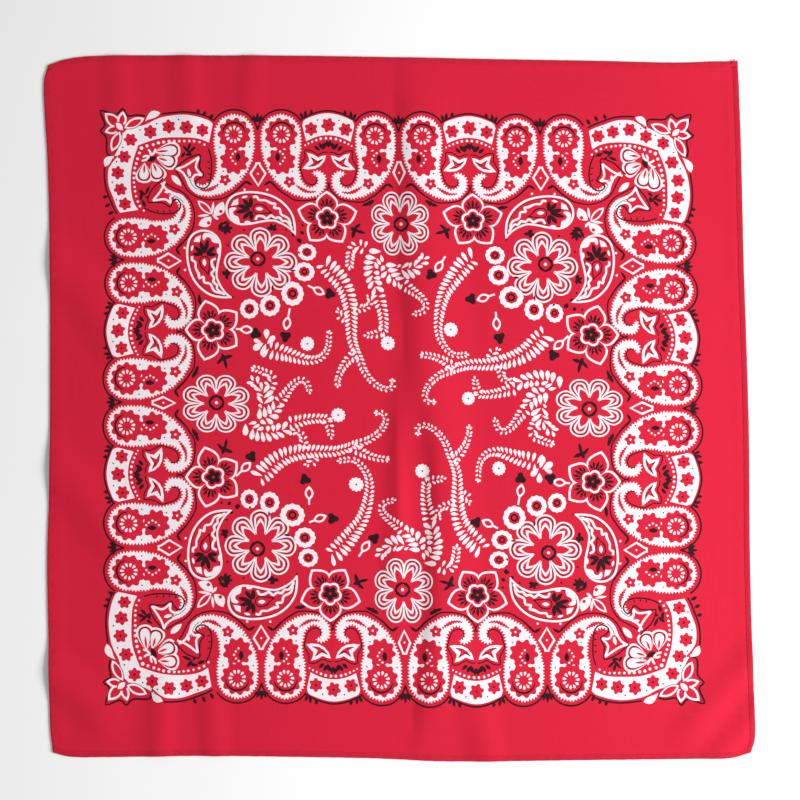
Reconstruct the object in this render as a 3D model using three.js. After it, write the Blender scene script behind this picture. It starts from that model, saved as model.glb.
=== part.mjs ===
// A cotton bandana laid flat: one square of thin cloth with its four edges turned under twice.
// Millimetres, seen from above with +X to the right, +Y to the top edge and +Z up, resting on z = 0.

import * as THREE from 'three';

// Cloth
const HALF = 275;               // half the finished square
const WALL = 1;                 // thickness of the single layer
const HEM_WIDTH = 5;            // finished width of the turned edge
const HEM_WALL = 1.7;           // three layers pressed flat
const HEM_ROUND = 0.5;          // how far the folded edge rounds away, above and below
const SEAM_GAP = 0.36;          // clearance between the panel and a hem, and between two hems
const SKEW = 0.00825;           // the square is pulled this much out of true on the bias
const EDGE_REACH = 70;          // how far in from an edge its bowing fades away
const CENTRE = { x: 0.48, y: -0.24 };   // middle of the bowed outline, brought to the origin

// Grid steps
const FINE_STEP = 5;
const COARSE_STEP = 11;
const ROW_STEP = 18;
const FINE_ZONE = { from: -30, to: 65 };

// How far each edge bows out of the true square: at is the place along the edge from its middle
const LEFT_EDGE = [
  { at: -275, out: -2.6 }, { at: -259, out: -0.6 }, { at: -232, out: 0.2 }, { at: -184, out: 0.8 },
  { at: -122, out: 1.6 }, { at: -59, out: 0.4 }, { at: 4, out: -1.0 }, { at: 114, out: -1.2 },
  { at: 190, out: 0.3 }, { at: 230, out: 1.8 }, { at: 262, out: 1.4 }, { at: 275, out: -2.4 },
];
const RIGHT_EDGE = [
  { at: -275, out: -1.0 }, { at: -264, out: 2.6 }, { at: -244, out: 2.7 }, { at: -182, out: 1.7 },
  { at: -103, out: 1.5 }, { at: -24, out: 1.3 }, { at: 87, out: -0.5 }, { at: 204, out: 0 },
  { at: 256, out: -0.8 }, { at: 275, out: -1.5 },
];
const TOP_EDGE = [
  { at: -275, out: -6.9 }, { at: -262, out: -2.4 }, { at: -240, out: 0.6 }, { at: -156, out: 1.8 },
  { at: -76, out: 2.3 }, { at: 3, out: 1.8 }, { at: 82, out: 0.3 }, { at: 162, out: -0.8 },
  { at: 224, out: -1.2 }, { at: 275, out: 0 },
];
const BOTTOM_EDGE = [
  { at: -275, out: -1.9 }, { at: -262, out: 1.2 }, { at: -236, out: 1.5 }, { at: -159, out: 0.3 },
  { at: -81, out: 0.9 }, { at: -19, out: 1.9 }, { at: 36, out: 3.3 }, { at: 154, out: 1.2 },
  { at: 229, out: 0.8 }, { at: 260, out: -0.6 }, { at: 275, out: -4.6 },
];

// The largest folds, each a soft ridge: its crest runs from one end to the other and bows sideways,
// left and right are the widths of its two flanks, and rise is its height
const FOLDS = [
  { name: 'fold line, upper half', x0: 13, y0: 300, x1: 27, y1: -65, bow: 1, left: 13, right: 44, rise: 2.3 },
  { name: 'fold line, lower half', x0: 27, y0: 35, x1: 14, y1: -300, bow: 12, left: 13, right: 40, rise: 2.1 },
  { name: 'second ridge below', x0: 2, y0: 34, x1: -6, y1: -190, bow: 2, left: 16, right: 15, rise: 1.6 },
  { name: 'top ripple 1', x0: -226, y0: 300, x1: -222, y1: 190, bow: 3, left: 17, right: 17, rise: 1.3 },
  { name: 'top ripple 2', x0: -168, y0: 300, x1: -160, y1: 205, bow: -2, left: 19, right: 16, rise: 1.5 },
  { name: 'top ripple 3', x0: -116, y0: 300, x1: -121, y1: 215, bow: 2, left: 16, right: 18, rise: 1.2 },
  { name: 'bottom ripple 1', x0: -188, y0: -300, x1: -182, y1: -200, bow: 2, left: 16, right: 17, rise: 1.4 },
  { name: 'bottom ripple 2', x0: -145, y0: -300, x1: -150, y1: -215, bow: -2, left: 16, right: 16, rise: 1.2 },
  { name: 'bottom ripple 3', x0: 76, y0: -300, x1: 60, y1: -205, bow: 4, left: 20, right: 22, rise: 1.3 },
  { name: 'left ripple 1', x0: -300, y0: 140, x1: -205, y1: 20, bow: 8, left: 26, right: 30, rise: 1.6 },
  { name: 'left ripple 2', x0: -300, y0: -20, x1: -200, y1: -140, bow: 6, left: 26, right: 28, rise: 1.7 },
  { name: 'left ripple 3', x0: -300, y0: -190, x1: -215, y1: -262, bow: 4, left: 22, right: 26, rise: 1.8 },
  { name: 'right corner ripple 1', x0: 300, y0: -170, x1: 205, y1: -275, bow: 4, left: 18, right: 22, rise: 1.5 },
  { name: 'right corner ripple 2', x0: 300, y0: -212, x1: 238, y1: -290, bow: 2, left: 16, right: 16, rise: 1.2 },
];
const END_FADE = 0.28;          // share of a crest over which each end sinks to nothing

// Colours of dyed cotton
const RED = 0xc8193a;
const RED_HEM = 0xb81535;

// Reads a bow table as a smooth curve: a cubic through the rows, with slopes taken from the neighbours
function bow(rows, at) {
  const last = rows.length - 1;
  if (at <= rows[0].at) {
    return rows[0].out;
  }
  if (at >= rows[last].at) {
    return rows[last].out;
  }
  const i = rows.findIndex((row) => row.at > at) - 1;
  const slope = (k) => {
    const a = rows[Math.max(k - 1, 0)];
    const b = rows[Math.min(k + 1, last)];
    return (b.out - a.out) / (b.at - a.at);
  };
  const span = rows[i + 1].at - rows[i].at;
  const t = (at - rows[i].at) / span;
  const rise = rows[i + 1].out - rows[i].out;
  const m0 = slope(i) * span;
  const m1 = slope(i + 1) * span;
  return rows[i].out + m0 * t + (3 * rise - 2 * m0 - m1) * t * t + (m0 + m1 - 2 * rise) * t * t * t;
}

// One at an edge, falling smoothly to nothing EDGE_REACH inside it
function fade(inside) {
  return 1 - THREE.MathUtils.smoothstep(inside, 0, EDGE_REACH);
}

// Where the point (u, v) of the true square lies on the table
function place(u, v) {
  const across = u - bow(LEFT_EDGE, v) * fade(HALF + u) + bow(RIGHT_EDGE, v) * fade(HALF - u);
  const along = v - bow(BOTTOM_EDGE, u) * fade(HALF + v) + bow(TOP_EDGE, u) * fade(HALF - v);
  return { x: across - SKEW * along - CENTRE.x, y: along - SKEW * across - CENTRE.y };
}

// A cosine bell: one at zero, nothing at one and beyond
function bell(t) {
  return Math.abs(t) >= 1 ? 0 : 0.5 + 0.5 * Math.cos(Math.PI * t);
}

// Height of one fold over the point (x, y)
function foldHeight(fold, x, y) {
  const length = Math.hypot(fold.x1 - fold.x0, fold.y1 - fold.y0);
  const dx = (fold.x1 - fold.x0) / length;
  const dy = (fold.y1 - fold.y0) / length;
  const t = ((x - fold.x0) * dx + (y - fold.y0) * dy) / length;
  if (t <= 0 || t >= 1) {
    return 0;
  }
  const crest = fold.bow * 4 * t * (1 - t);
  const side = (y - fold.y0) * dx - (x - fold.x0) * dy - crest;
  const ends = THREE.MathUtils.smoothstep(t, 0, END_FADE) * THREE.MathUtils.smoothstep(1 - t, 0, END_FADE);
  return fold.rise * ends * bell(side / (side > 0 ? fold.right : fold.left));
}

// How far the cloth stands off the table at (x, y)
function lift(x, y) {
  return FOLDS.reduce((sum, fold) => sum + foldHeight(fold, x, y), 0);
}

// Evenly spread values from one to the other, no further apart than step
function spread(from, to, step) {
  const count = Math.ceil((to - from) / step);
  return Array.from({ length: count + 1 }, (_, i) => from + ((to - from) * i) / count);
}

// Columns are closer where the fold line runs down the middle
function columns(from, to) {
  return [
    ...spread(from, FINE_ZONE.from, COARSE_STEP),
    ...spread(FINE_ZONE.from, FINE_ZONE.to, FINE_STEP).slice(1),
    ...spread(FINE_ZONE.to, to, COARSE_STEP).slice(1),
  ];
}

// A closed sheet over a grid of the square: under and over give its two faces above the lifted table
function sheet(us, vs, under, over) {
  const top = [];
  const bottom = [];
  for (const v of vs) {
    for (const u of us) {
      const { x, y } = place(u, v);
      const z = lift(x, y);
      top.push(x, y, z + over(u, v));
      bottom.push(x, y, z + under(u, v));
    }
  }
  const wide = us.length;
  const layer = us.length * vs.length;
  const faces = [];
  const quad = (a, b, c, d) => faces.push(a, b, c, a, c, d);
  for (let j = 0; j < vs.length - 1; j += 1) {
    for (let i = 0; i < wide - 1; i += 1) {
      const k = j * wide + i;
      quad(k, k + 1, k + wide + 1, k + wide);
      quad(layer + k, layer + k + wide, layer + k + wide + 1, layer + k + 1);
    }
  }
  const rim = (a, b) => quad(layer + a, layer + b, b, a);
  for (let i = 0; i < wide - 1; i += 1) {
    rim(i, i + 1);
    rim(layer - 1 - i, layer - 2 - i);
  }
  for (let j = 0; j < vs.length - 1; j += 1) {
    rim((j + 1) * wide, j * wide);
    rim(j * wide + wide - 1, (j + 1) * wide + wide - 1);
  }
  const geometry = new THREE.BufferGeometry();
  geometry.setAttribute('position', new THREE.Float32BufferAttribute([...top, ...bottom], 3));
  geometry.setIndex(faces);
  return geometry;
}

function cotton(colour) {
  return new THREE.MeshStandardMaterial({ color: colour, roughness: 0.9, metalness: 0 });
}

const PANEL_EDGE = HALF - HEM_WIDTH - SEAM_GAP;
const panelColumns = columns(-PANEL_EDGE, PANEL_EDGE);
const panelRows = spread(-PANEL_EDGE, PANEL_EDGE, ROW_STEP);

// The cut square between its hems
function panel() {
  return new THREE.Mesh(sheet(panelColumns, panelRows, () => 0, () => WALL), cotton(RED));
}

// A turned edge: us and vs are its grid, and distance gives how far out a point lies. Its folded
// edge, on the last line out, rounds away above and below
function hem(us, vs, distance) {
  const rounding = (u, v) => (distance(u, v) >= HALF ? HEM_ROUND : 0);
  const over = (u, v) => HEM_WALL - rounding(u, v);
  return new THREE.Mesh(sheet(us, vs, rounding, over), cotton(RED_HEM));
}

// Lines across a hem, from its seam out to the folded edge; the far hems run on over the corners
const outward = [HALF - HEM_WIDTH, HALF - HEM_ROUND, HALF];
const inward = [-HALF, HEM_ROUND - HALF, HEM_WIDTH - HALF];
const fullColumns = [-HALF, ...panelColumns, HALF];

const pieces = {
  panel: panel(),
  hem_top: hem(fullColumns, outward, (u, v) => v),
  hem_bottom: hem(fullColumns, inward, (u, v) => -v),
  hem_left: hem(inward, panelRows, (u) => -u),
  hem_right: hem(outward, panelRows, (u) => u),
};

const bandana = new THREE.Group();
for (const [name, mesh] of Object.entries(pieces)) {
  mesh.name = name;
  bandana.add(mesh);
}

export default bandana;
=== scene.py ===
import math

import bpy
import numpy as np
from mathutils import Euler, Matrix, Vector
from mathutils.geometry import delaunay_2d_cdt


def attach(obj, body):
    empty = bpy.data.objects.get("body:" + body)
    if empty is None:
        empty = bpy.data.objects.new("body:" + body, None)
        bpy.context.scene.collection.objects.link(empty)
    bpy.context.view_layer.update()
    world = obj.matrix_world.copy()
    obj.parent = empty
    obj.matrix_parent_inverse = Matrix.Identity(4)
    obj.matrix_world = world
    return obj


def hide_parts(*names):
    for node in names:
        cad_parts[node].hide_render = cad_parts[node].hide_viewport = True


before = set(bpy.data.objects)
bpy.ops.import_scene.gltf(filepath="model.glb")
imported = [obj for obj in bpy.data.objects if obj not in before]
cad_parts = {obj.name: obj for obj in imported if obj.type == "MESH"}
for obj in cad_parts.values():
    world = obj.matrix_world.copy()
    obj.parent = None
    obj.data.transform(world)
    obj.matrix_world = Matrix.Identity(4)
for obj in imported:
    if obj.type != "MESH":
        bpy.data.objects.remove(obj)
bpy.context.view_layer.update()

MM = 0.001

# Camera. It looks almost straight down, as in the photograph. The lens isn't known: 60 mm is
# assumed, and the height follows from the size of the cloth in the picture.
CAMERA_LENS = 60                         # millimetres
CAMERA_PLACE = (-11.9, -26.7, 1052.6)    # millimetres
CAMERA_TURN = (1.689, -0.694, -0.146)    # degrees

camera_data = bpy.data.cameras.new("camera")
camera_data.lens = CAMERA_LENS
camera = bpy.data.objects.new("camera", camera_data)
camera.location = [value * MM for value in CAMERA_PLACE]
camera.rotation_euler = Euler([math.radians(value) for value in CAMERA_TURN], "XYZ")
bpy.context.scene.collection.objects.link(camera)
bpy.context.scene.camera = camera

# The printed cloth. One square of light plain-woven cotton, dyed red, with white and near-black
# printed on it. It lies flat, with the fold lines of its packing still standing a little, and
# its edges are slightly bowed and out of square.
HALF = 275               # half the finished square
HEM_WIDTH = 5            # finished width of the turned edge
SKEW = 0.00825           # how far the square is pulled out of true on the bias
EDGE_REACH = 70          # how far in from an edge its bowing fades away
CENTRE = (0.48, -0.24)   # middle of the bowed outline, brought to the origin

# How far each edge bows outwards: (place along the edge from its middle, distance out)
LEFT_EDGE = (
    (-275, -2.6), (-259, -0.6), (-232, 0.2), (-184, 0.8), (-122, 1.6), (-59, -0.4),
    (4, -1.0), (114, -1.2), (190, 0.3), (230, 2.4), (262, 3), (275, -0.6),
)
RIGHT_EDGE = (
    (-275, -1.0), (-264, 2.6), (-244, 2.7), (-182, 1.7), (-103, 1.5), (-24, 2.4),
    (60, 1.6), (110, 0.8), (204, 0.3), (256, -0.6), (275, -1.2),
)
TOP_EDGE = (
    (-275, -6.9), (-262, -2.4), (-240, 0.6), (-156, 1.8), (-76, 2.3), (3, 1.8),
    (82, 1), (162, 0.4), (224, -0.4), (256, 0.8), (275, 1.2),
)
BOTTOM_EDGE = (
    (-275, -1.9), (-262, 1.2), (-236, 1.5), (-159, 0.3), (-81, 0.9), (-19, 1.9),
    (36, 4), (154, 2.6), (229, 1.5), (260, 0.6), (275, -3.4),
)

# Folds, each a soft ridge: the crest runs from (x0, y0) to (x1, y1) and bows sideways; then the
# widths of its left and right flanks, its height and, where given, a power for its left flank:
# under 1 makes the foot steeper, and 0 makes the crest itself sharp
FOLDS = (
    # x0, y0, x1, y1, bow, left, right, rise, power
    (13, 300, 23, -90, 0, 18, 44, 2.6, 0.5),     # fold line, upper half
    (27, 35, 14, -300, 12, 13, 40, 2.2, 0.6),    # fold line, lower half
    (2, 34, -6, -190, 2, 16, 15, 1.3),           # second ridge beside it
    (1.5, 60, 1, -125, 0, 10, 9, 0.75, 0),       # sharp crease on it
    (-226, 300, -222, 190, 3, 17, 17, 0.9),      # ripples along the top edge
    (-168, 300, -160, 205, -2, 19, 16, 1.1),
    (-116, 300, -121, 215, 2, 16, 18, 0.9),
    (-188, -300, -182, -200, 2, 16, 17, 1.4),    # along the bottom edge
    (-145, -300, -150, -215, -2, 16, 16, 1.2),
    (76, -300, 60, -205, 4, 20, 22, 1.3),
    (-300, 140, -205, 20, 8, 26, 30, 1.6),       # along the left edge
    (-300, -20, -200, -140, 6, 26, 28, 1.7),
    (-300, -190, -215, -262, 4, 22, 26, 1.8),
    (300, -170, 205, -275, 4, 18, 22, 1.5),      # bottom right corner
    (300, -212, 238, -290, 2, 16, 16, 1.2),
)
END_FADE = 0.28          # share of a crest over which each end sinks to nothing

CLOTH_WALL = 0.42        # the cloth itself
CLOTH_REST = 0.02        # its underside stands this far off the table
HEM_STEP = 0.34          # the cloth climbs by this much onto the folded hem
HEM_CLIMB = 14           # over this distance
PANEL_EDGE = HALF - HEM_WIDTH + 0.3


def bow(table, at):
    """Cubic pieces through the rows of a table, with slopes taken from the neighbouring rows."""
    spots, outs = np.transpose(table)
    rows = np.arange(len(spots))
    before = np.maximum(rows - 1, 0)
    after = np.minimum(rows + 1, len(spots) - 1)
    slopes = (outs[after] - outs[before]) / (spots[after] - spots[before])
    at = np.clip(at, spots[0], spots[-1])
    row = np.clip(np.searchsorted(spots, at, side="right") - 1, 0, len(spots) - 2)
    span = spots[row + 1] - spots[row]
    t = (at - spots[row]) / span
    rise = outs[row + 1] - outs[row]
    start = slopes[row] * span
    end = slopes[row + 1] * span
    return outs[row] + start * t + (3 * rise - 2 * start - end) * t**2 + (start + end - 2 * rise) * t**3


def smoothstep(value, low, high):
    """Zero below low, one above high, and 3t2 - 2t3 between them."""
    t = np.clip((value - low) / (high - low), 0, 1)
    return t * t * (3 - 2 * t)


def place(u, v):
    """Where the point (u, v) of the true square lies: each edge's bow, fading inwards, then the skew."""
    across = (
        u
        - bow(LEFT_EDGE, v) * (1 - smoothstep(HALF + u, 0, EDGE_REACH))
        + bow(RIGHT_EDGE, v) * (1 - smoothstep(HALF - u, 0, EDGE_REACH))
    )
    along = (
        v
        - bow(BOTTOM_EDGE, u) * (1 - smoothstep(HALF + v, 0, EDGE_REACH))
        + bow(TOP_EDGE, u) * (1 - smoothstep(HALF - v, 0, EDGE_REACH))
    )
    return across - SKEW * along - CENTRE[0], along - SKEW * across - CENTRE[1]


def ridge(fold, x, y):
    """Height of one fold: a cosine bell across the crest, sinking smoothly at both ends."""
    x0, y0, x1, y1, sideways, left, right, rise, *power = fold
    length = math.hypot(x1 - x0, y1 - y0)
    dx, dy = (x1 - x0) / length, (y1 - y0) / length
    t = ((x - x0) * dx + (y - y0) * dy) / length
    side = (y - y0) * dx - (x - x0) * dy - sideways * 4 * t * (1 - t)
    across = np.clip(side / np.where(side > 0, right, left), -1, 1)
    ends = smoothstep(t, 0, END_FADE) * smoothstep(1 - t, 0, END_FADE)
    bell = 0.5 + 0.5 * np.cos(math.pi * across)
    if power == [0]:
        bell = (1 - np.abs(across)) ** 1.5
    elif power:
        bell = np.where(side < 0, bell ** power[0], bell)
    return rise * ends * bell


def lift(x, y):
    """How far the cloth stands off the table: the sum of its folds."""
    return sum(ridge(fold, x, y) for fold in FOLDS)


def cloth_height(u, v):
    """Height of the cloth's underside at (u, v): its folds, and the climb onto the hems."""
    x, y = place(u, v)
    inside = PANEL_EDGE - np.maximum(np.abs(u), np.abs(v))
    return lift(x, y) + CLOTH_REST + HEM_STEP * (1 - smoothstep(inside, 0, HEM_CLIMB))


def normals_of(u, v):
    """Upward normals of the cloth, from the slopes of its height a little to each side."""
    step = 0.4
    x0, y0 = place(u - step, v)
    x1, y1 = place(u + step, v)
    x2, y2 = place(u, v - step)
    x3, y3 = place(u, v + step)
    along_u = np.stack([x1 - x0, y1 - y0, cloth_height(u + step, v) - cloth_height(u - step, v)], 1)
    along_v = np.stack([x3 - x2, y3 - y2, cloth_height(u, v + step) - cloth_height(u, v - step)], 1)
    normal = np.cross(along_u, along_v)
    return normal / np.linalg.norm(normal, axis=1, keepdims=True)


# The print. It was charted in millimetres on the flattened cloth, +x to the right and +y up,
# as spines with half-widths, leaves, drops and rosettes. Later shapes cover earlier ones. Most of it
# is a quarter or an eighth of the square, turned and mirrored about its middle. Some of the sprays
# come back only after a half turn, and a few buds stand alone.
GROUND, WHITE, DARK = 0, 1, 2
MIDDLE = np.array((1.5, 1.1))
QUARTER = np.array(((0, 1), (-1, 0)))
MIRROR = np.array(((-1, 0), (0, 1)))
PRINT_SHIFT = np.array((3.04, -0.46))    # from the middle of the print to the cloth
PRINT_PULL = np.array(((0.9965, -0.0038), (0.0014, 0.9917)))    # how the whole print is pulled

# Where the cloth lies pulled or crowded: x, y, reach, and the shift there, set from how far
# the print in the photograph lay from an even one
STRETCHES = (
    (-205, 95, 55, 0.9, 1.8), (-205, -105, 50, 0.3, -1.8), (-205, 0, 60, -1.6, 0.5),
    (-190, 215, 70, -0.8, -1.5), (-205, -210, 70, -0.5, -1.3), (190, 5, 75, 3, 0.4),
    (215, 110, 45, -0.6, 1.2), (225, 215, 60, -1.2, 0), (215, -110, 45, -0.8, 0),
    (215, -215, 70, -1.5, 1.3), (100, 205, 70, -0.4, -1.2), (10, -225, 80, 0.5, -1.2),
    (0, 215, 70, -0.7, -0.4), (22, -45, 45, 4.4, -1.5), (-28, -70, 35, 1.6, -1.4),
    (62, 8, 32, 1.4, -1.6), (-95, 95, 42, 1.6, 1.2), (0, 150, 40, 0, -1), (5, -150, 45, -0.5, 1.2),
    (20, 12, 26, 2.2, -1.6), (66, 36, 22, 0, -2.6), (24, -106, 30, 1, -2), (140, -60, 80, 0.2, -1.1),
    (72, -4, 30, -1.4, 1.8),
)


def curve(rows, parts=5, closed=False):
    """A smooth line through the rows: Catmull-Rom pieces, each cut into parts."""
    rows = np.asarray(rows, float)
    if closed:
        rows = np.concatenate([rows[-1:], rows, rows[:2]])
    else:
        rows = np.concatenate([2 * rows[:1] - rows[1:2], rows, 2 * rows[-1:] - rows[-2:-1]])
    t = (np.arange(parts) / parts)[None, :, None]
    a, b, c, d = (part[:, None] for part in (rows[:-3], rows[1:-2], rows[2:-1], rows[3:]))
    line = (2 * b + (c - a) * t + (2 * a - 5 * b + 4 * c - d) * t**2 + (3 * b - a - 3 * c + d) * t**3) / 2
    line = line.reshape(-1, rows.shape[1])
    return line if closed else np.concatenate([line, rows[-2:-1]])


def on_cloth(outline):
    """A printed outline where it lies on the cloth: each stretch shifts it, fading away as a bell."""
    outline = PRINT_SHIFT + outline @ PRINT_PULL
    shift = 0
    for x, y, reach, across, along in STRETCHES:
        away = ((outline - (x, y)) ** 2).sum(1, keepdims=True)
        shift = shift + np.exp(-away / reach**2) * (across, along)
    return outline + shift


def leftward(line):
    """Unit vectors to the left of a line at each of its points."""
    along = np.gradient(line[:, :2], axis=0)
    along /= np.maximum(np.linalg.norm(along, axis=1, keepdims=True), 1e-9)
    return np.stack([-along[:, 1], along[:, 0]], 1)


def band(rows, parts=5, round_start=False):
    """Outline of a tapering band: rows of its spine and half-width. Its start may be a half disc."""
    line = curve(rows, parts)
    left = leftward(line)
    half = np.maximum(line[:, 2:], 0)
    outline = [line[:, :2] + left * half, (line[:, :2] - left * half)[::-1]]
    if round_start:
        angle = np.linspace(0, math.pi, 14)[1:-1, None]
        behind = np.array((-left[0, 1], left[0, 0]))
        outline.append(line[0, :2] + half[0] * (np.sin(angle) * behind - np.cos(angle) * left[0]))
    return np.concatenate(outline)


def line(points, width, parts=4):
    """A line of even width through the points."""
    return band([(*point, width / 2) for point in points], parts)


def toothed(outline, pitch, height):
    """The outline in equal steps, with every other point moved out and the rest in, a bit unevenly."""
    ring = np.concatenate([outline, outline[:1]])
    run = np.concatenate([[0], np.cumsum(np.linalg.norm(np.diff(ring, axis=0), axis=1))])
    count = 2 * round(run[-1] / pitch)
    at = np.linspace(0, run[-1], count, endpoint=False)
    ring = np.stack([np.interp(at, run, ring[:, k]) for k in (0, 1)], 1)
    after, before = np.roll(ring, -1, 0), np.roll(ring, 1, 0)
    turning = np.sign((before[:, 0] * after[:, 1] - before[:, 1] * after[:, 0]).sum())
    across = (after - before)[:, ::-1] * (1, -1)
    across /= np.linalg.norm(across, axis=1, keepdims=True)
    tooth = np.arange(count)
    out = np.where(tooth % 2, 0.5, -0.5) * height * (1 + 0.25 * np.sin(2.3 * tooth))
    return ring + across * out[:, None] * turning


def rosette(x, y, radius, lobes, depth, turn=0, points=5, wide=1):
    """A scalloped disc: its radius falls by the share depth between the lobes, as a rectified cosine."""
    angle = np.linspace(0, 2 * math.pi, lobes * points, endpoint=False)
    reach = radius * (1 - depth + depth * np.abs(np.cos(lobes * angle / 2)))
    angle = angle + math.radians(turn)
    return np.stack([x + reach * np.cos(angle) * wide, y + reach * np.sin(angle)], 1)


def disc(x, y, radius, points=8):
    """A regular polygon."""
    return rosette(x, y, radius, points, 0, points=1)


def widened(base, tip, spots, halves, bend=0):
    """Outline round the line from base to tip: half-widths at shares of its length, bent sideways."""
    base, tip, t = np.asarray(base, float), np.asarray(tip, float), np.asarray(spots, float)[:, None]
    along = tip - base
    left = np.array((-along[1], along[0])) / np.hypot(*along)
    spine = base + t * along + bend * 4 * t * (1 - t) * left
    half = np.asarray(halves, float)[:, None] * left
    return np.concatenate([spine + half, (spine - half)[-2:0:-1]])


def leaf(base, tip, half, belly=0.5, bend=0, blunt=0.8, points=4):
    """A leaf pointed at both ends. Its half-width is a sine to the power blunt, widest at belly."""
    t = np.linspace(0, 1, 2 * points + 1)
    shifted = t ** (math.log(0.5) / math.log(belly))
    return widened(base, tip, t, half * np.abs(np.sin(math.pi * shifted)) ** blunt, bend)


def drop(base, tip, half, points=5):
    """A drop, pointed at its base and round at its tip: half-width t times the root of 1 - t squared."""
    t = np.sin(np.linspace(0, math.pi / 2, 2 * points + 1))
    return widened(base, tip, t, 2 * half * t * np.sqrt(1 - t * t))


def frond(base, tip, half):
    """One blunt leaf of a spray, narrower where it grows from the stem."""
    return widened(base, tip, (0, 0.25, 0.62, 0.88, 1), np.array((0, 0.55, 1, 0.72, 0)) * half)


def leaves(ink, *rows):
    """Leaves from rows of base x and y, tip x and y, and half-width."""
    return [(ink, leaf((a, b), (c, d), half)) for a, b, c, d, half in rows]


def dots(ink, radius, *places):
    """Discs of one size."""
    return [(ink, disc(x, y, radius)) for x, y in places]


def moved(shapes, x, y, flip=1, turn=0):
    """Shapes mirrored left to right where flip is -1, then turned in degrees, then moved."""
    c, s = math.cos(math.radians(turn)), math.sin(math.radians(turn))
    return [(ink, (outline * (flip, 1)) @ ((c, s), (-s, c)) + (x, y)) for ink, outline in shapes]


def turned(shapes, turns):
    """Copies of the shapes turned about the middle by the given numbers of quarters."""
    return [
        (ink, (outline - MIDDLE) @ np.linalg.matrix_power(QUARTER, turn))
        for turn in turns for ink, outline in shapes
    ]


def mirrored(shapes):
    """The shapes with their mirror images about the upright middle line."""
    return shapes + [(ink, (outline - MIDDLE) @ MIRROR + MIDDLE) for ink, outline in shapes]


def both_sides(points):
    """The points from one side to the upright middle line, and on to the other side as in a mirror."""
    return points + [(-x, y) for x, y in points[-2::-1]]


# Paisleys along the border: white, with a scalloped head, a waist and a curled tail
def paisley_head():
    """The marks in a head of radius 16 about the origin."""
    crown = [(9.2 * math.cos(a), 0.2 + 9.2 * math.sin(a), half)
             for a, half in ((0.2, 0.2), (0.7, 0.6), (1.3, 0.75), (1.9, 0.75), (2.5, 0.6), (3.1, 0.2))]
    shapes = [(GROUND, rosette(0.3, 0, 13.4, 11, 0.22, 15))]
    for petal in range(11):
        shapes += moved([(WHITE, drop((3.5, 0), (6.9, 0), 1.05, 2))], 0, 0, 1, 20 + petal * 360 / 11)
    shapes += [
        (DARK, band(crown, 4)),
        (GROUND, band([(1.5, -9, 2.4), (1.4, -12, 1.6), (1, -15, 2.2)], 2)),
        (GROUND, rosette(0.3, -21, 11.6, 9, 0.3, 5, wide=1.02)),
        (DARK, leaf((3.2, -21.8), (3.2, -14.4), 1.9)),
    ]
    shapes += dots(WHITE, 0.85, (1.2, -13.6), (-0.9, -15.6), (-2.4, -18.5), (-1, -21.2), (1.2, -23.6))
    shapes += dots(DARK, 0.6, (-11, -10.2), (12.5, -9.9), (-8.4, -29.6), (5, -34))
    over = [(19.2 * math.cos(a), 19.2 * math.sin(a)) for a in np.linspace(2.55, 0.2, 10)]
    return shapes + [(DARK, line(over, 1.4))]


HEAD_ROWS = [(0.3, 0, 15.5), (0.3, -10, 15.6), (0.1, -18, 14.2)]
CONTOUR_START = [(14.2, -41, 0.3), (11.6, -39.2, 1.1), (9.2, -38.3, 0.9), (6, -41, 0.9)]


def paisley(tail, floret, streak, ragged, contour, beside=()):
    """A paisley from its tail's rows, which turn to the left: the white body, what lies beside its tail,
    the marks of its head, a floret and a ragged streak in its tail, and its dark contour."""
    return [
        (WHITE, toothed(band(HEAD_ROWS + tail, 6, True), 2.5, 2)),
        *beside,
        *paisley_head(),
        (GROUND, rosette(*floret, 4.9, 5, 0.45, 60)),
        (WHITE, disc(*floret, 0.9)),
        (GROUND, toothed(band(streak, 3), 2.2, ragged)),
        (DARK, band(CONTOUR_START + contour, 5)),
    ]


# In the middle of a side the tail curls up, and beside a corner it runs out long and thin
side_paisley = paisley(
    [(-1.2, -25, 12.5), (-4, -32, 10.5), (-8.5, -39, 7.9), (-15, -44.6, 5.2), (-22, -46.3, 4),
     (-28, -44.6, 3.5), (-31.3, -40, 3.2), (-31.7, -34.8, 3.2), (-29.2, -31, 2.3), (-24, -31, 0.5)],
    (-6, -38),
    [(-27.5, -45.4, 0.3), (-21.5, -46, 1.1), (-15.5, -43.8, 1.3), (-11, -40.4, 0.4)],
    1,
    [(2, -45, 0.7), (-4, -49.2, 0.65), (-12, -53, 0.6), (-27, -51.6, 0.55), (-35, -45.5, 0.55),
     (-38.5, -38, 0.5)],
)
corner_paisley = paisley(
    [(-1.5, -25, 12.5), (-4.5, -32, 10.5), (-9.5, -39, 7.7), (-17, -43.8, 5.6), (-24.5, -45.2, 4.3),
     (-30.5, -43, 3.3), (-34.6, -38.4, 2), (-37, -33.4, 0.4)],
    (-7.2, -36.6),
    [(-29, -43.4, 0.3), (-23, -45.2, 1.2), (-17, -43.4, 1.5), (-12, -40, 0.5)],
    1.1,
    [(2, -44.8, 0.7), (-3, -48.4, 0.65), (-9, -51.6, 0.6), (-20, -53, 0.55), (-30, -50.4, 0.55),
     (-37, -45, 0.55), (-42, -36, 0.55), (-46, -29, 0.5)],
    [(WHITE, line([(-25, -48.6), (-31, -46.2), (-35.4, -41), (-38, -34.5), (-41, -30.2),
                   (-45.4, -27.3)], 1.8)),
     (DARK, line([(-29.5, -44.6), (-33.4, -40.4), (-36, -34.5), (-38.6, -31)], 0.5))],
)


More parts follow.
